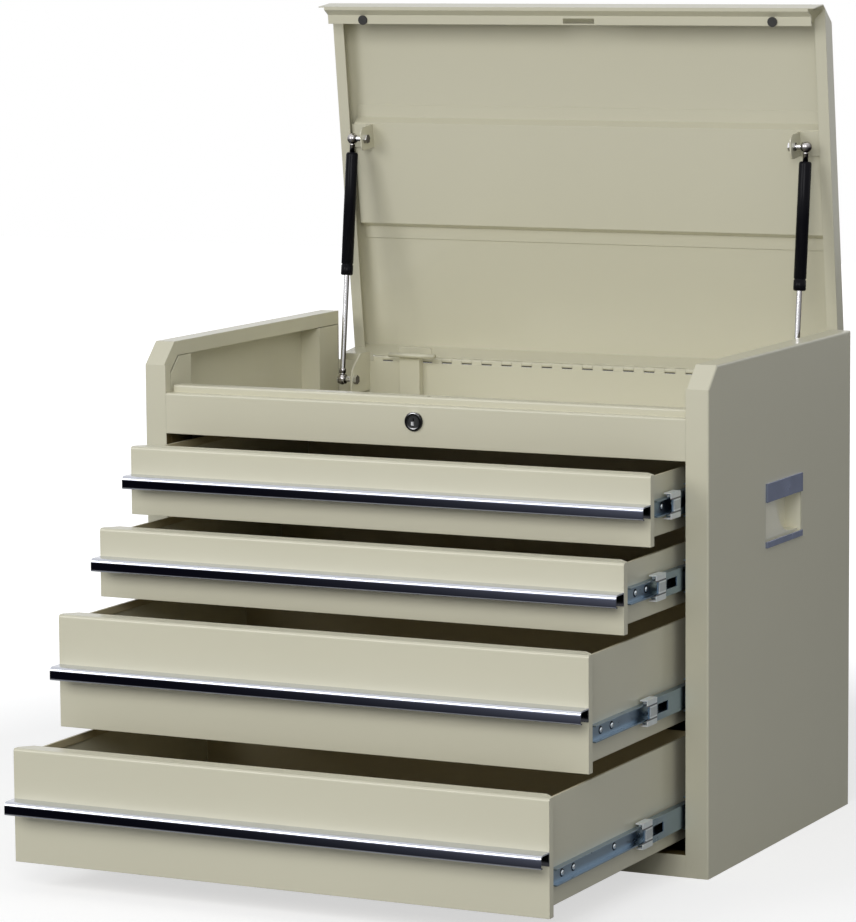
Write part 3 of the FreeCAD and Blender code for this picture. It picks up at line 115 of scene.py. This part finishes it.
class Finish(Sheet):
    """A material: one Principled shader, and short ways to add what varies over the surface."""

    def __init__(self, name, colour, **sockets):
        self.material = bpy.data.materials.new(name)
        self.material.use_nodes = True
        super().__init__(self.material.node_tree)
        self.shader = self.tree.nodes["Principled BSDF"]
        self.shader.inputs["Base Color"].default_value = (*colour, 1)
        for key, value in sockets.items():
            self.shader.inputs[key.replace("_", " ")].default_value = value
        self.place = self.node("ShaderNodeTexCoord", "Object", {})

    def noise(self, scale, detail=2, stretch=(1, 1, 1)):
        """Noise between 0 and 1 in the piece's own metres, stretched along an axis where asked."""
        place = self.node("ShaderNodeMapping", 0, {}, self.place, Scale=stretch)
        return self.node("ShaderNodeTexNoise", 0, {}, place, Scale=scale, Detail=detail)

    def axis(self, name):
        """One coordinate of the place, in metres."""
        return self.node("ShaderNodeSeparateXYZ", name, {}, self.place)

    def blend(self, low, high, share):
        """A colour between two others, by a share from 0 to 1."""
        ends = [value if isinstance(value, Socket) else (*value, 1) for value in (low, high)]
        return self.node("ShaderNodeMix", 2, {"data_type": "RGBA"}, share, *[None] * 5, *ends)

    def drive(self, name, value):
        """Link a value to one of the shader's sockets."""
        self.tree.links.new(value.output, self.shader.inputs[name])
        return self

    def relief(self, height, depth, edge=0.0):
        """Bump of a height from 0 to 1 over a depth in metres, on edges rounded to a small radius."""
        rounded = self.node("ShaderNodeBevel", 0, {"samples": 4}, edge) if edge else None
        bump = self.node("ShaderNodeBump", 0, {}, Distance=depth, Height=height, Normal=rounded)
        return self.drive("Normal", bump)


cream_colour = (0.66, 0.635, 0.49)
enamel_coat = 0.35


def enamel(name, colour):
    """Enamel: slow drifts of tone and gloss, a fine orange peel and softened folds."""
    paint = Finish(name, colour, Coat_Weight=enamel_coat, Coat_Roughness=0.12)
    darker = tuple(0.94 * level for level in colour)
    paint.tone = paint.blend(darker, colour, paint.noise(3.2, 3))
    paint.drive("Base Color", paint.tone)
    paint.drive("Roughness", 0.30 + 0.12 * paint.noise(14, 4))
    return paint.relief(paint.noise(900, 2), 0.00006, 0.0009)


def shade_inside(paint, colour, inside):
    """Where the mask holds, the enamel takes a darker colour as painted shade and loses its coat."""
    paint.drive("Base Color", paint.blend(paint.tone, colour, inside))
    return paint.drive("Coat Weight", enamel_coat - enamel_coat * inside)


def dress(finish, *names):
    """Give CAD pieces a finish."""
    for name in names:
        piece = nodes[name]
        piece.data.materials.clear()
        piece.data.materials.append(finish.material)


cream = enamel("cream enamel", cream_colour)
cabinet_cream = enamel("cabinet enamel", cream_colour)
wall_low, wall_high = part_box("back_panel")
till_low, till_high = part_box("till_floor")
side_margin, front_margin, foot_margin, top_margin = 0.0003, 0.0001, 0.0004, 0.0007
hollow_side = wall_high[0] - side_margin
hollow_front, hollow_rear = till_low[1] - front_margin, (wall_low[1] + wall_high[1]) / 2
hollow_foot, hollow_top = foot_margin, till_high[2] - top_margin
place_x, place_y, place_z = (cabinet_cream.axis(name) for name in "XYZ")
hollow_shade = place_x.size().below(hollow_side) * place_y.above(hollow_front) * place_y.below(hollow_rear)
hollow_shade = hollow_shade * place_z.above(hollow_foot) * place_z.below(hollow_top)
# Painted shade: the hollow behind the drawers is coloured dark brown and left without coat.
shade_inside(cabinet_cream, (0.13, 0.095, 0.035), hollow_shade)
dress(
    cabinet_cream,
    "right_side_panel",
    "left_side_panel",
    "back_panel",
    "bottom_panel",
    "front_top_rail",
    "front_bottom_rail",
    "till_floor",
    "front_uprights",
    "rear_uprights",
)


# Lid. One folded pan with a deep rim, closed at the corners by welds, and a hat-shaped stiffener spot-welded
# across its inside. Both are sprayed with the cabinet. Two rubber bumpers plug into the front hem.
dress(cream, "lid_shell", "lid_stiffener")
rubber = Finish("black rubber", (0.025, 0.024, 0.023), Roughness=0.6, Specular_IOR_Level=0.4)
rubber.drive("Base Color", rubber.blend((0.018, 0.018, 0.018), (0.045, 0.044, 0.042), rubber.noise(160, 3)))
rubber.relief(rubber.noise(700, 2), 0.00005, 0.0006)
dress(rubber, "lid_bumpers")


# Piano hinge. Steel strip, slotted along one edge, rolled into knuckles round a drawn pin and sprayed with
# the chest. It is spot-welded to the back panel below and to the lid's heel above. The pin is coloured dark
# as painted shade where the slots show it, and a narrow cream strip fills the gap beyond each end.
def plated(name, colour, roughness, grain, depth=0.00002):
    """Plated steel: a faint grain, stretched along an axis, and clouded gloss."""
    steel = Finish(name, colour, Metallic=1.0)
    cloud = steel.noise(45, 4)
    line = steel.noise(500, 3, grain)
    dull = tuple(0.72 * level for level in colour)
    steel.drive("Base Color", steel.blend(dull, colour, (0.35 * line + 0.65 * cloud + 0.25).clamped()))
    steel.drive("Roughness", roughness + 0.16 * (cloud - 0.5) + 0.06 * (line - 0.5))
    return steel.relief(line, depth, 0.0004)


def lathe(profile, foot, axis, steps=64):
    """P(k, a) = foot + h_k axis + r_k (cos a e1 + sin a e2), where the profile lists the pairs (h, r)."""
    axis = np.array(axis, float) / np.linalg.norm(axis)
    first = np.cross(axis, (1, 0, 0) if abs(axis[0]) < 0.9 else (0, 1, 0))
    first = first / np.linalg.norm(first)
    second = np.cross(axis, first)
    turn = np.linspace(0, 2 * np.pi, steps, endpoint=False)
    spokes = np.outer(np.cos(turn), first) + np.outer(np.sin(turn), second)
    height, radius = np.array(profile, float).T
    return np.array(foot) + height[:, None, None] * axis + radius[:, None, None] * spokes


def rod_profile(start, end, radius):
    """Profile of a plain rod with flat ends."""
    return [(start, 0), (start, radius), (end, radius), (end, 0)]


def ring_mesh(name, points, finish, body):
    """Smooth closed mesh through rings of points, an array of rings by steps by 3.

    Each ring is closed on itself, and merged doubles close the poles and the seams.
    """
    rings, steps, _ = points.shape
    ring, step = np.meshgrid(np.arange(rings - 1), np.arange(steps), indexing="ij")
    near, far = ring * steps + step, ring * steps + (step + 1) % steps
    faces = np.stack([near, far, far + steps, near + steps], axis=-1).reshape(-1, 4)
    mesh = bpy.data.meshes.new(name)
    mesh.from_pydata(points.reshape(-1, 3).tolist(), [], faces.tolist())
    shell = bmesh.new()
    shell.from_mesh(mesh)
    bmesh.ops.remove_doubles(shell, verts=shell.verts, dist=1e-6)
    bmesh.ops.recalc_face_normals(shell, faces=shell.faces)
    shell.to_mesh(mesh)
    shell.free()
    mesh.shade_smooth()
    mesh.materials.append(finish.material)
    piece = bpy.data.objects.new(name, mesh)
    bpy.context.collection.objects.link(piece)
    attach(piece, body)
    return piece


sides = (("right", 1), ("left", -1))
# Painted shade: the pin is coloured dark so the slots between the knuckles read as shadow.
hinge_pin_shade = plated("hinge pin", (0.10, 0.085, 0.05), 0.45, (0.04, 1, 1))
pin_low, pin_high = np.array(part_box("hinge_pin"))
pin_centre, pin_half = (pin_low + pin_high) / 2, (pin_high[0] - pin_low[0]) / 2
bar_radius, bar_flattening, bar_drop = 0.0024, (1, 0.5, 1), (0, 0, 0.001)
bar = lathe(rod_profile(-pin_half, pin_half, bar_radius), pin_centre, (1, 0, 0), 24)
bar = pin_centre + (bar - pin_centre) * bar_flattening - bar_drop
pin = ring_mesh("hinge_pin_painted_shade", bar, hinge_pin_shade, "cabinet")
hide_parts("hinge_pin")
dress(cream, "hinge_leaf_cabinet", "hinge_leaf_lid")
strip_start, strip_end = pin_high[0] + 0.00025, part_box("lid_shell")[1][0] - 0.0002
strip_radius, strip_flattening, strip_stretch = 0.0040, 0.12, 1.05
strip_place = (0, 0.2042, 0.4773)
strip = lathe(rod_profile(strip_start, strip_end, strip_radius), (0, 0, 0), (1, 0, 0), 24)
for side, sign in sides:
    end = strip * (sign, strip_flattening, strip_stretch) + strip_place
    ring_mesh(f"hinge_end_strip_{side}", end, cream, "cabinet")


# Lid struts. A chromed rod slides in a black enamelled gas tube, crimped near its mouth, and each end is a
# socket that turns on a ball stud. The studs are nutted through bent cream plates on the lid's stiffener
# and on the back panel.
def painted_reflection_chrome(name, pale, dim, level=0.80, gain=0.75):
    """Chrome with painted reflection: bright where it faces up, and darker towards its flanks and underneath.
    """
    metal = plated(name, pale, 0.12, (1, 1, 0.05), 0.000003)
    facing = metal.node("ShaderNodeTexCoord", "Normal", {})
    lift = metal.node("ShaderNodeSeparateXYZ", "Z", {}, facing)
    flank = metal.node("ShaderNodeSeparateXYZ", "X", {}, facing).size()
    return metal.drive("Base Color", metal.blend(dim, pale, (level + gain * (lift - flank)).clamped()))


# Painted reflection on the chrome parts: light on top, dark on the flanks and underneath.
chrome = painted_reflection_chrome("chrome", (0.86, 0.86, 0.88), (0.06, 0.05, 0.05))
socket_chrome = painted_reflection_chrome("socket chrome", (0.50, 0.48, 0.48), (0.02, 0.015, 0.015))
strut_black = Finish("strut enamel", (0.004, 0.004, 0.006), Specular_IOR_Level=0.07)
strut_black.drive("Roughness", 0.16 + 0.12 * strut_black.noise(60, 4))
strut_black.relief(strut_black.noise(1200, 2), 0.00001)

strut_foot = np.array(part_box("strut_lower_studs")).mean(axis=0)
strut_line = np.array(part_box("strut_upper_studs")).mean(axis=0) - strut_foot
reach = np.linalg.norm(strut_line)
shoulder, mouth = reach - 0.016, reach - 0.158
tube_low, tube_high = np.array(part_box("right_strut_tube"))
strut_side = (tube_low[0] + tube_high[0]) / 2
tube_radius = (tube_high[0] - tube_low[0]) / 2
crimp_radius, bore_radius, neck_radius, ball_radius = 0.0063, 0.0032, 0.0030, 0.0064
tube = [
    (shoulder - 0.004, 0),
    (shoulder - 0.004, bore_radius),
    (mouth + 0.001, bore_radius),
    (mouth, 0.0040),
    (mouth, 0.0058),
    (mouth + 0.0012, tube_radius),
    (mouth + 0.0115, tube_radius),
    (mouth + 0.0120, crimp_radius),
    (mouth + 0.0132, crimp_radius),
    (mouth + 0.0137, tube_radius),
    (shoulder - 0.0025, tube_radius),
    (shoulder - 0.0007, 0.0064),
    (shoulder, 0.0050),
    (shoulder, 0),
]
bulge = np.linspace(-0.86, 1, 24) * np.pi / 2
ball = [(ball_radius * np.sin(angle), ball_radius * np.cos(angle)) for angle in bulge]
upper_socket = [
    (shoulder - 0.001, 0),
    (shoulder - 0.001, neck_radius),
    (reach - 0.0075, neck_radius),
    (reach - 0.0070, 0.0036),
]
upper_socket += [(reach + height, radius) for height, radius in ball]
lower_socket = [(-height, radius) for height, radius in ball[::-1]]
lower_socket += [(0.0072, 0.0040), (0.0120, 0.0040), (0.0126, 0.0032), (0.0126, 0)]
for side, sign in sides:
    foot = (sign * strut_side, *strut_foot[1:])
    dress(chrome, f"{side}_strut_rod")
    skin = lathe(tube, foot, strut_line)
    piece = ring_mesh(f"{side}_tube_skin", skin, strut_black, f"{side}_strut_tube")
    head = lathe(upper_socket, foot, strut_line)
    ring_mesh(f"{side}_upper_socket", head, socket_chrome, f"{side}_strut_tube")
    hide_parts(f"{side}_strut_tube")
    base = lathe(lower_socket, foot, strut_line)
    ring_mesh(f"{side}_lower_socket", base, socket_chrome, f"{side}_strut_rod")
dress(chrome, "strut_upper_studs", "strut_lower_studs")
dress(cream, "strut_upper_brackets", "strut_lower_brackets")


# Drawers. Each is a folded tray with a flanged front spot-welded over it, sprayed cream, with painted shade
# on its inner faces.
# An extruded aluminium pull runs the whole width. Slides have three rolled, zinc-plated members and nylon
# ball cages, and domed screws hold the inner member to the tray, each over a dark disc of painted shade.
pull_width, nose_depth, nose_height, web_height = 0.6, 0.0186, 0.011, 0.0121
reflection_foot, reflection_top = 0.0009, 0.0109


def pull_with_painted_reflection(name, front, bottom):
    """Aluminium pull with painted reflection and shade: a nearly black reflection down its nose face, paler
    towards the right-hand end, and painted shade in the hollow behind the nose.
    """
    metal = plated(name, (0.62, 0.64, 0.70), 0.16, (0.02, 1, 1), 0.000008)
    height = metal.axis("Z") - bottom
    along = (metal.axis("X") / pull_width + 0.5).clamped()
    share = along ** 2.6 * (0.25 + height / nose_height)
    # Painted dark reflection down the nose face, paler towards the right-hand end.
    dark_reflection = metal.blend((0.005, 0.005, 0.010), (0.13, 0.14, 0.19), share.clamped())
    face = metal.axis("Y").below(front - nose_depth)
    rise, fall = (height - reflection_foot) / 0.0010, (reflection_top - height) / 0.0012
    reflection_band = face * rise.clamped() * fall.clamped()
    # Painted shade in the hollow behind the nose.
    web_shade = metal.axis("Y").above(front - nose_depth) * height.below(web_height)
    tone = metal.blend((0.56, 0.58, 0.64), (0.09, 0.09, 0.10), web_shade)
    return metal.drive("Base Color", metal.blend(tone, dark_reflection, reflection_band))


def shaded_nylon(name, level):
    """Nylon mouldings: pale, with painted shade as a dark groove line above and below a slide's level, and a
    greyer middle.
    """
    pale, dim = (0.66, 0.68, 0.68), (0.10, 0.10, 0.11)
    groove_near, groove_far, web_reach = 0.0062, 0.0078, 0.0045
    plastic = Finish(name, pale, Roughness=0.35, Subsurface_Weight=0.1)
    off = (plastic.axis("Z") - level).size()
    # Painted shade: dark lines standing for the grooves above and below the slide's level.
    groove_shade = off.above(groove_near) * off.below(groove_far) + 0.35 * off.below(web_reach)
    cloud = plastic.blend(pale, (0.80, 0.81, 0.79), plastic.noise(90, 3))
    plastic.drive("Base Color", plastic.blend(cloud, dim, groove_shade.clamped()))
    return plastic.relief(plastic.noise(800, 2), 0.00003, 0.0005)


tray_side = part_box("drawer_1_tray")[1][0]
tray_shade_limit = tray_side - 0.0015
tray_enamel = enamel("drawer enamel", cream_colour)
# Painted shade: the tray's inner faces are coloured darker and left without coat.
shade_inside(tray_enamel, (0.50, 0.44, 0.28), tray_enamel.axis("X").size().below(tray_shade_limit))
slide_zinc = plated("bright zinc", (0.27, 0.36, 0.45), 0.30, (1, 0.03, 1))
screw_zinc = plated("screw zinc", (0.66, 0.72, 0.76), 0.25, (1, 1, 1))
screw_hole_shade = Finish("screw hole shade", (0.02, 0.02, 0.025), Roughness=0.4, Metallic=0.5)
screw_places = (("front", 0.046), ("middle", 0.073), ("rear", 0.172))
screw_seat = tray_side + 0.0011
shade_disc_thickness, shade_disc_radius, screw_radius = 0.0004, 0.0042, 0.0029
shade_disc = rod_profile(0, shade_disc_thickness, shade_disc_radius)
dome = [(0, 0), (0, screw_radius), (0.0007, screw_radius)]
dome += [(0.0011, 0.0025), (0.0014, 0.0017), (0.0015, 0.0008), (0.0015, 0)]
for number in (1, 2, 3, 4):
    drawer = f"drawer_{number}"
    dress(cream, f"{drawer}_front")
    dress(tray_enamel, f"{drawer}_tray")
    pull_low, pull_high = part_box(f"{drawer}_pull")
    front = pull_high[1]
    dress(pull_with_painted_reflection(f"pull {number}", front, pull_low[2]), f"{drawer}_pull")
    dress(slide_zinc, f"{drawer}_slide_inner", f"{drawer}_slide_middle", f"{drawer}_slide_outer")
    inner_low, inner_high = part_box(f"{drawer}_slide_inner")
    slide_level = (inner_low[2] + inner_high[2]) / 2
    dress(shaded_nylon(f"nylon {number}", slide_level), f"{drawer}_slide_cages")
    for side, sign in sides:
        for place, setback in screw_places:
            seat = (sign * screw_seat, front + setback, slide_level)
            # Painted shade: a dark disc under each screw head darkens its hole.
            under = lathe(shade_disc, seat, (sign, 0, 0), 32)
            ring_mesh(f"{drawer}_{side}_{place}_washer", under, screw_hole_shade, drawer)
            head = lathe(dome, seat, (sign, 0, 0), 32)
            ring_mesh(f"{drawer}_{side}_{place}_screw", head, screw_zinc, drawer)


# Lock. A cam lock with a chromed barrel and bezel, the bezel with a painted reflection bright above and dark
# below, a black plug with a painted highlight at its flat key slot, and a zinc-plated cam and nut behind. A
# folded channel with a cream tab across its head slides on studs down the back of the chest, and drops over
# the drawers' hooks as the lid shuts.
lock_colour = (0.010, 0.010, 0.011)
lock_black = Finish("lock lacquer", lock_colour, Coat_Weight=0.6, Coat_Roughness=0.05)
lock_black.drive("Roughness", 0.16 + 0.15 * lock_black.noise(90, 4))
barrel_low, barrel_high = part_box("lock_barrel")
lock_x, lock_z = (barrel_low[0] + barrel_high[0]) / 2, (barrel_low[2] + barrel_high[2]) / 2
# Painted highlight: a small pale patch on the plug at its key slot.
slot_highlight_x, slot_highlight_z = lock_x - 0.0010, lock_z - 0.0022
slot_highlight_half_width, slot_highlight_half_height = 0.0017, 0.0019
slot_highlight = (lock_black.axis("X") - slot_highlight_x).size().below(slot_highlight_half_width)
slot_highlight = slot_highlight * (lock_black.axis("Z") - slot_highlight_z).size().below(slot_highlight_half_height)
lock_black.drive("Base Color", lock_black.blend(lock_colour, (0.70, 0.70, 0.72), slot_highlight))
# Painted reflection on the bezel: bright above, dark below.
bezel_chrome = painted_reflection_chrome("lock chrome", (0.80, 0.80, 0.82), (0.012, 0.012, 0.012), 0.06, 1.1)
dress(bezel_chrome, "lock_barrel")
dress(lock_black, "lock_plug")
dress(slide_zinc, "lock_nut", "lock_cam", "lock_rod_studs")
dress(cabinet_cream, "lock_rod")
channel_low, channel_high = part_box("lock_rod")
tab_start, tab_end, tab_radius, tab_flattening, tab_drop = -0.010, 0.048, 0.004, (1, 1, 0.7), 0.0012
tab_place = (channel_low[0], channel_low[1] + tab_radius, channel_high[2] - tab_drop)
tab = lathe(rod_profile(tab_start, tab_end, tab_radius), (0, 0, 0), (1, 0, 0), 24)
tab = tab * tab_flattening + tab_place
ring_mesh("lock_rod_tab", tab, cream, "lock_rod")
bezel_outer, bezel_inner = 0.0103, 0.0066
bezel = [(0, bezel_outer), (0.0012, bezel_outer), (0.0022, 0.0099), (0.0027, 0.0092), (0.0029, 0.0084)]
bezel += [(0.0028, 0.0076), (0.0023, 0.0069), (0.0014, bezel_inner), (0, bezel_inner), (0, bezel_outer)]
chest_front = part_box("right_side_panel")[0][1]
ring = lathe(bezel, (lock_x, chest_front, lock_z), (0, -1, 0))
ring_mesh("lock_bezel_ring", ring, bezel_chrome, "cabinet")


# Side handles. A pressed cream cup behind each opening, coloured a paler cream than the chest as painted
# light in its shaded dish, with a bent aluminium grip over its upper edge and a narrow lip of the same strip
# along its lower edge.
# Painted light: the cup is a paler cream than the chest.
dress(enamel("cup enamel", (0.92, 0.89, 0.72)), "side_handle_cups")
dress(plated("grip aluminium", (0.34, 0.39, 0.56), 0.24, (0.02, 1, 1), 0.000008), "side_handle_grips")


# Floor, light and camera. A plain pale floor takes the shadow and fades into a backdrop that is white to the
# camera and in reflections. Four large soft lamps stand in front, overhead and to the side.
floor_colour, floor_near, floor_fade = (0.50, 0.50, 0.50), 0.75, 0.6
pale_floor = Finish("floor", floor_colour, Roughness=0.9, Specular_IOR_Level=0.1, Emission_Strength=1.0)
away = (pale_floor.axis("X") ** 2 + pale_floor.axis("Y") ** 2) ** 0.5
glow = 0.62 + 0.38 * ((away - floor_near) / floor_fade).clamped()
glow = glow * pale_floor.node("ShaderNodeLightPath", "Is Camera Ray", {})
pale_floor.drive("Emission Color", pale_floor.blend((0, 0, 0), (1, 1, 1), glow))
bpy.ops.mesh.primitive_plane_add(size=14)
floor = bpy.context.object
floor.name = "floor"
floor.data.materials.append(pale_floor.material)

world = bpy.data.worlds.new("studio")
bpy.context.scene.world = world
world.use_nodes = True
air = Sheet(world.node_tree)
room = air.tree.nodes["Background"]
room.inputs["Color"].default_value = (0.85, 0.87, 0.90, 1)
room.inputs["Strength"].default_value = 0.30
white = air.node("ShaderNodeBackground", 0, {}, (1, 1, 1, 1), 1.0)
shown = air.node("ShaderNodeLightPath", "Is Camera Ray", {})
mirrored = air.node("ShaderNodeLightPath", "Is Glossy Ray", {})
through = air.node("ShaderNodeLightPath", "Is Transmission Ray", {})
backdrop = (shown + mirrored + through).clamped()
mixed = air.node("ShaderNodeMixShader", 0, {}, backdrop, Socket(air, room.outputs[0]), white)
air.tree.links.new(mixed.output, air.tree.nodes["World Output"].inputs[0])
chest_middle = (0, -0.1, 0.4)


def lamp(name, place, width, power):
    """Square area lamp that faces the middle of the chest."""
    light = bpy.data.lights.new(name, "AREA")
    light.shape = "RECTANGLE"
    light.size = width
    light.size_y = width
    light.energy = power
    holder = bpy.data.objects.new(name, light)
    bpy.context.collection.objects.link(holder)
    holder.location = place
    holder.rotation_euler = Vector(np.subtract(chest_middle, place)).to_track_quat("-Z", "Y").to_euler()


lamp("left key", (-1.6, -2.8, 1.8), 1.6, 34)
lamp("overhead", (0.2, -0.3, 3.0), 2.2, 6)
lamp("right key", (1.0, -3.2, 1.9), 1.6, 42)
lamp("side fill", (3.0, -0.8, 2.4), 1.6, 3.5)

lens = bpy.data.cameras.new("camera")
lens.lens = 163.23
lens.sensor_width = 36
lens.clip_start = 0.1
lens.clip_end = 60
camera = bpy.data.objects.new("camera", lens)
bpy.context.collection.objects.link(camera)
camera.location = (1.9442, -4.1090, 0.98805)
camera.rotation_euler = np.radians((82.56017, 0.44269, 26.27627))
scene = bpy.context.scene
scene.camera = camera
scene.view_settings.view_transform = "Standard"
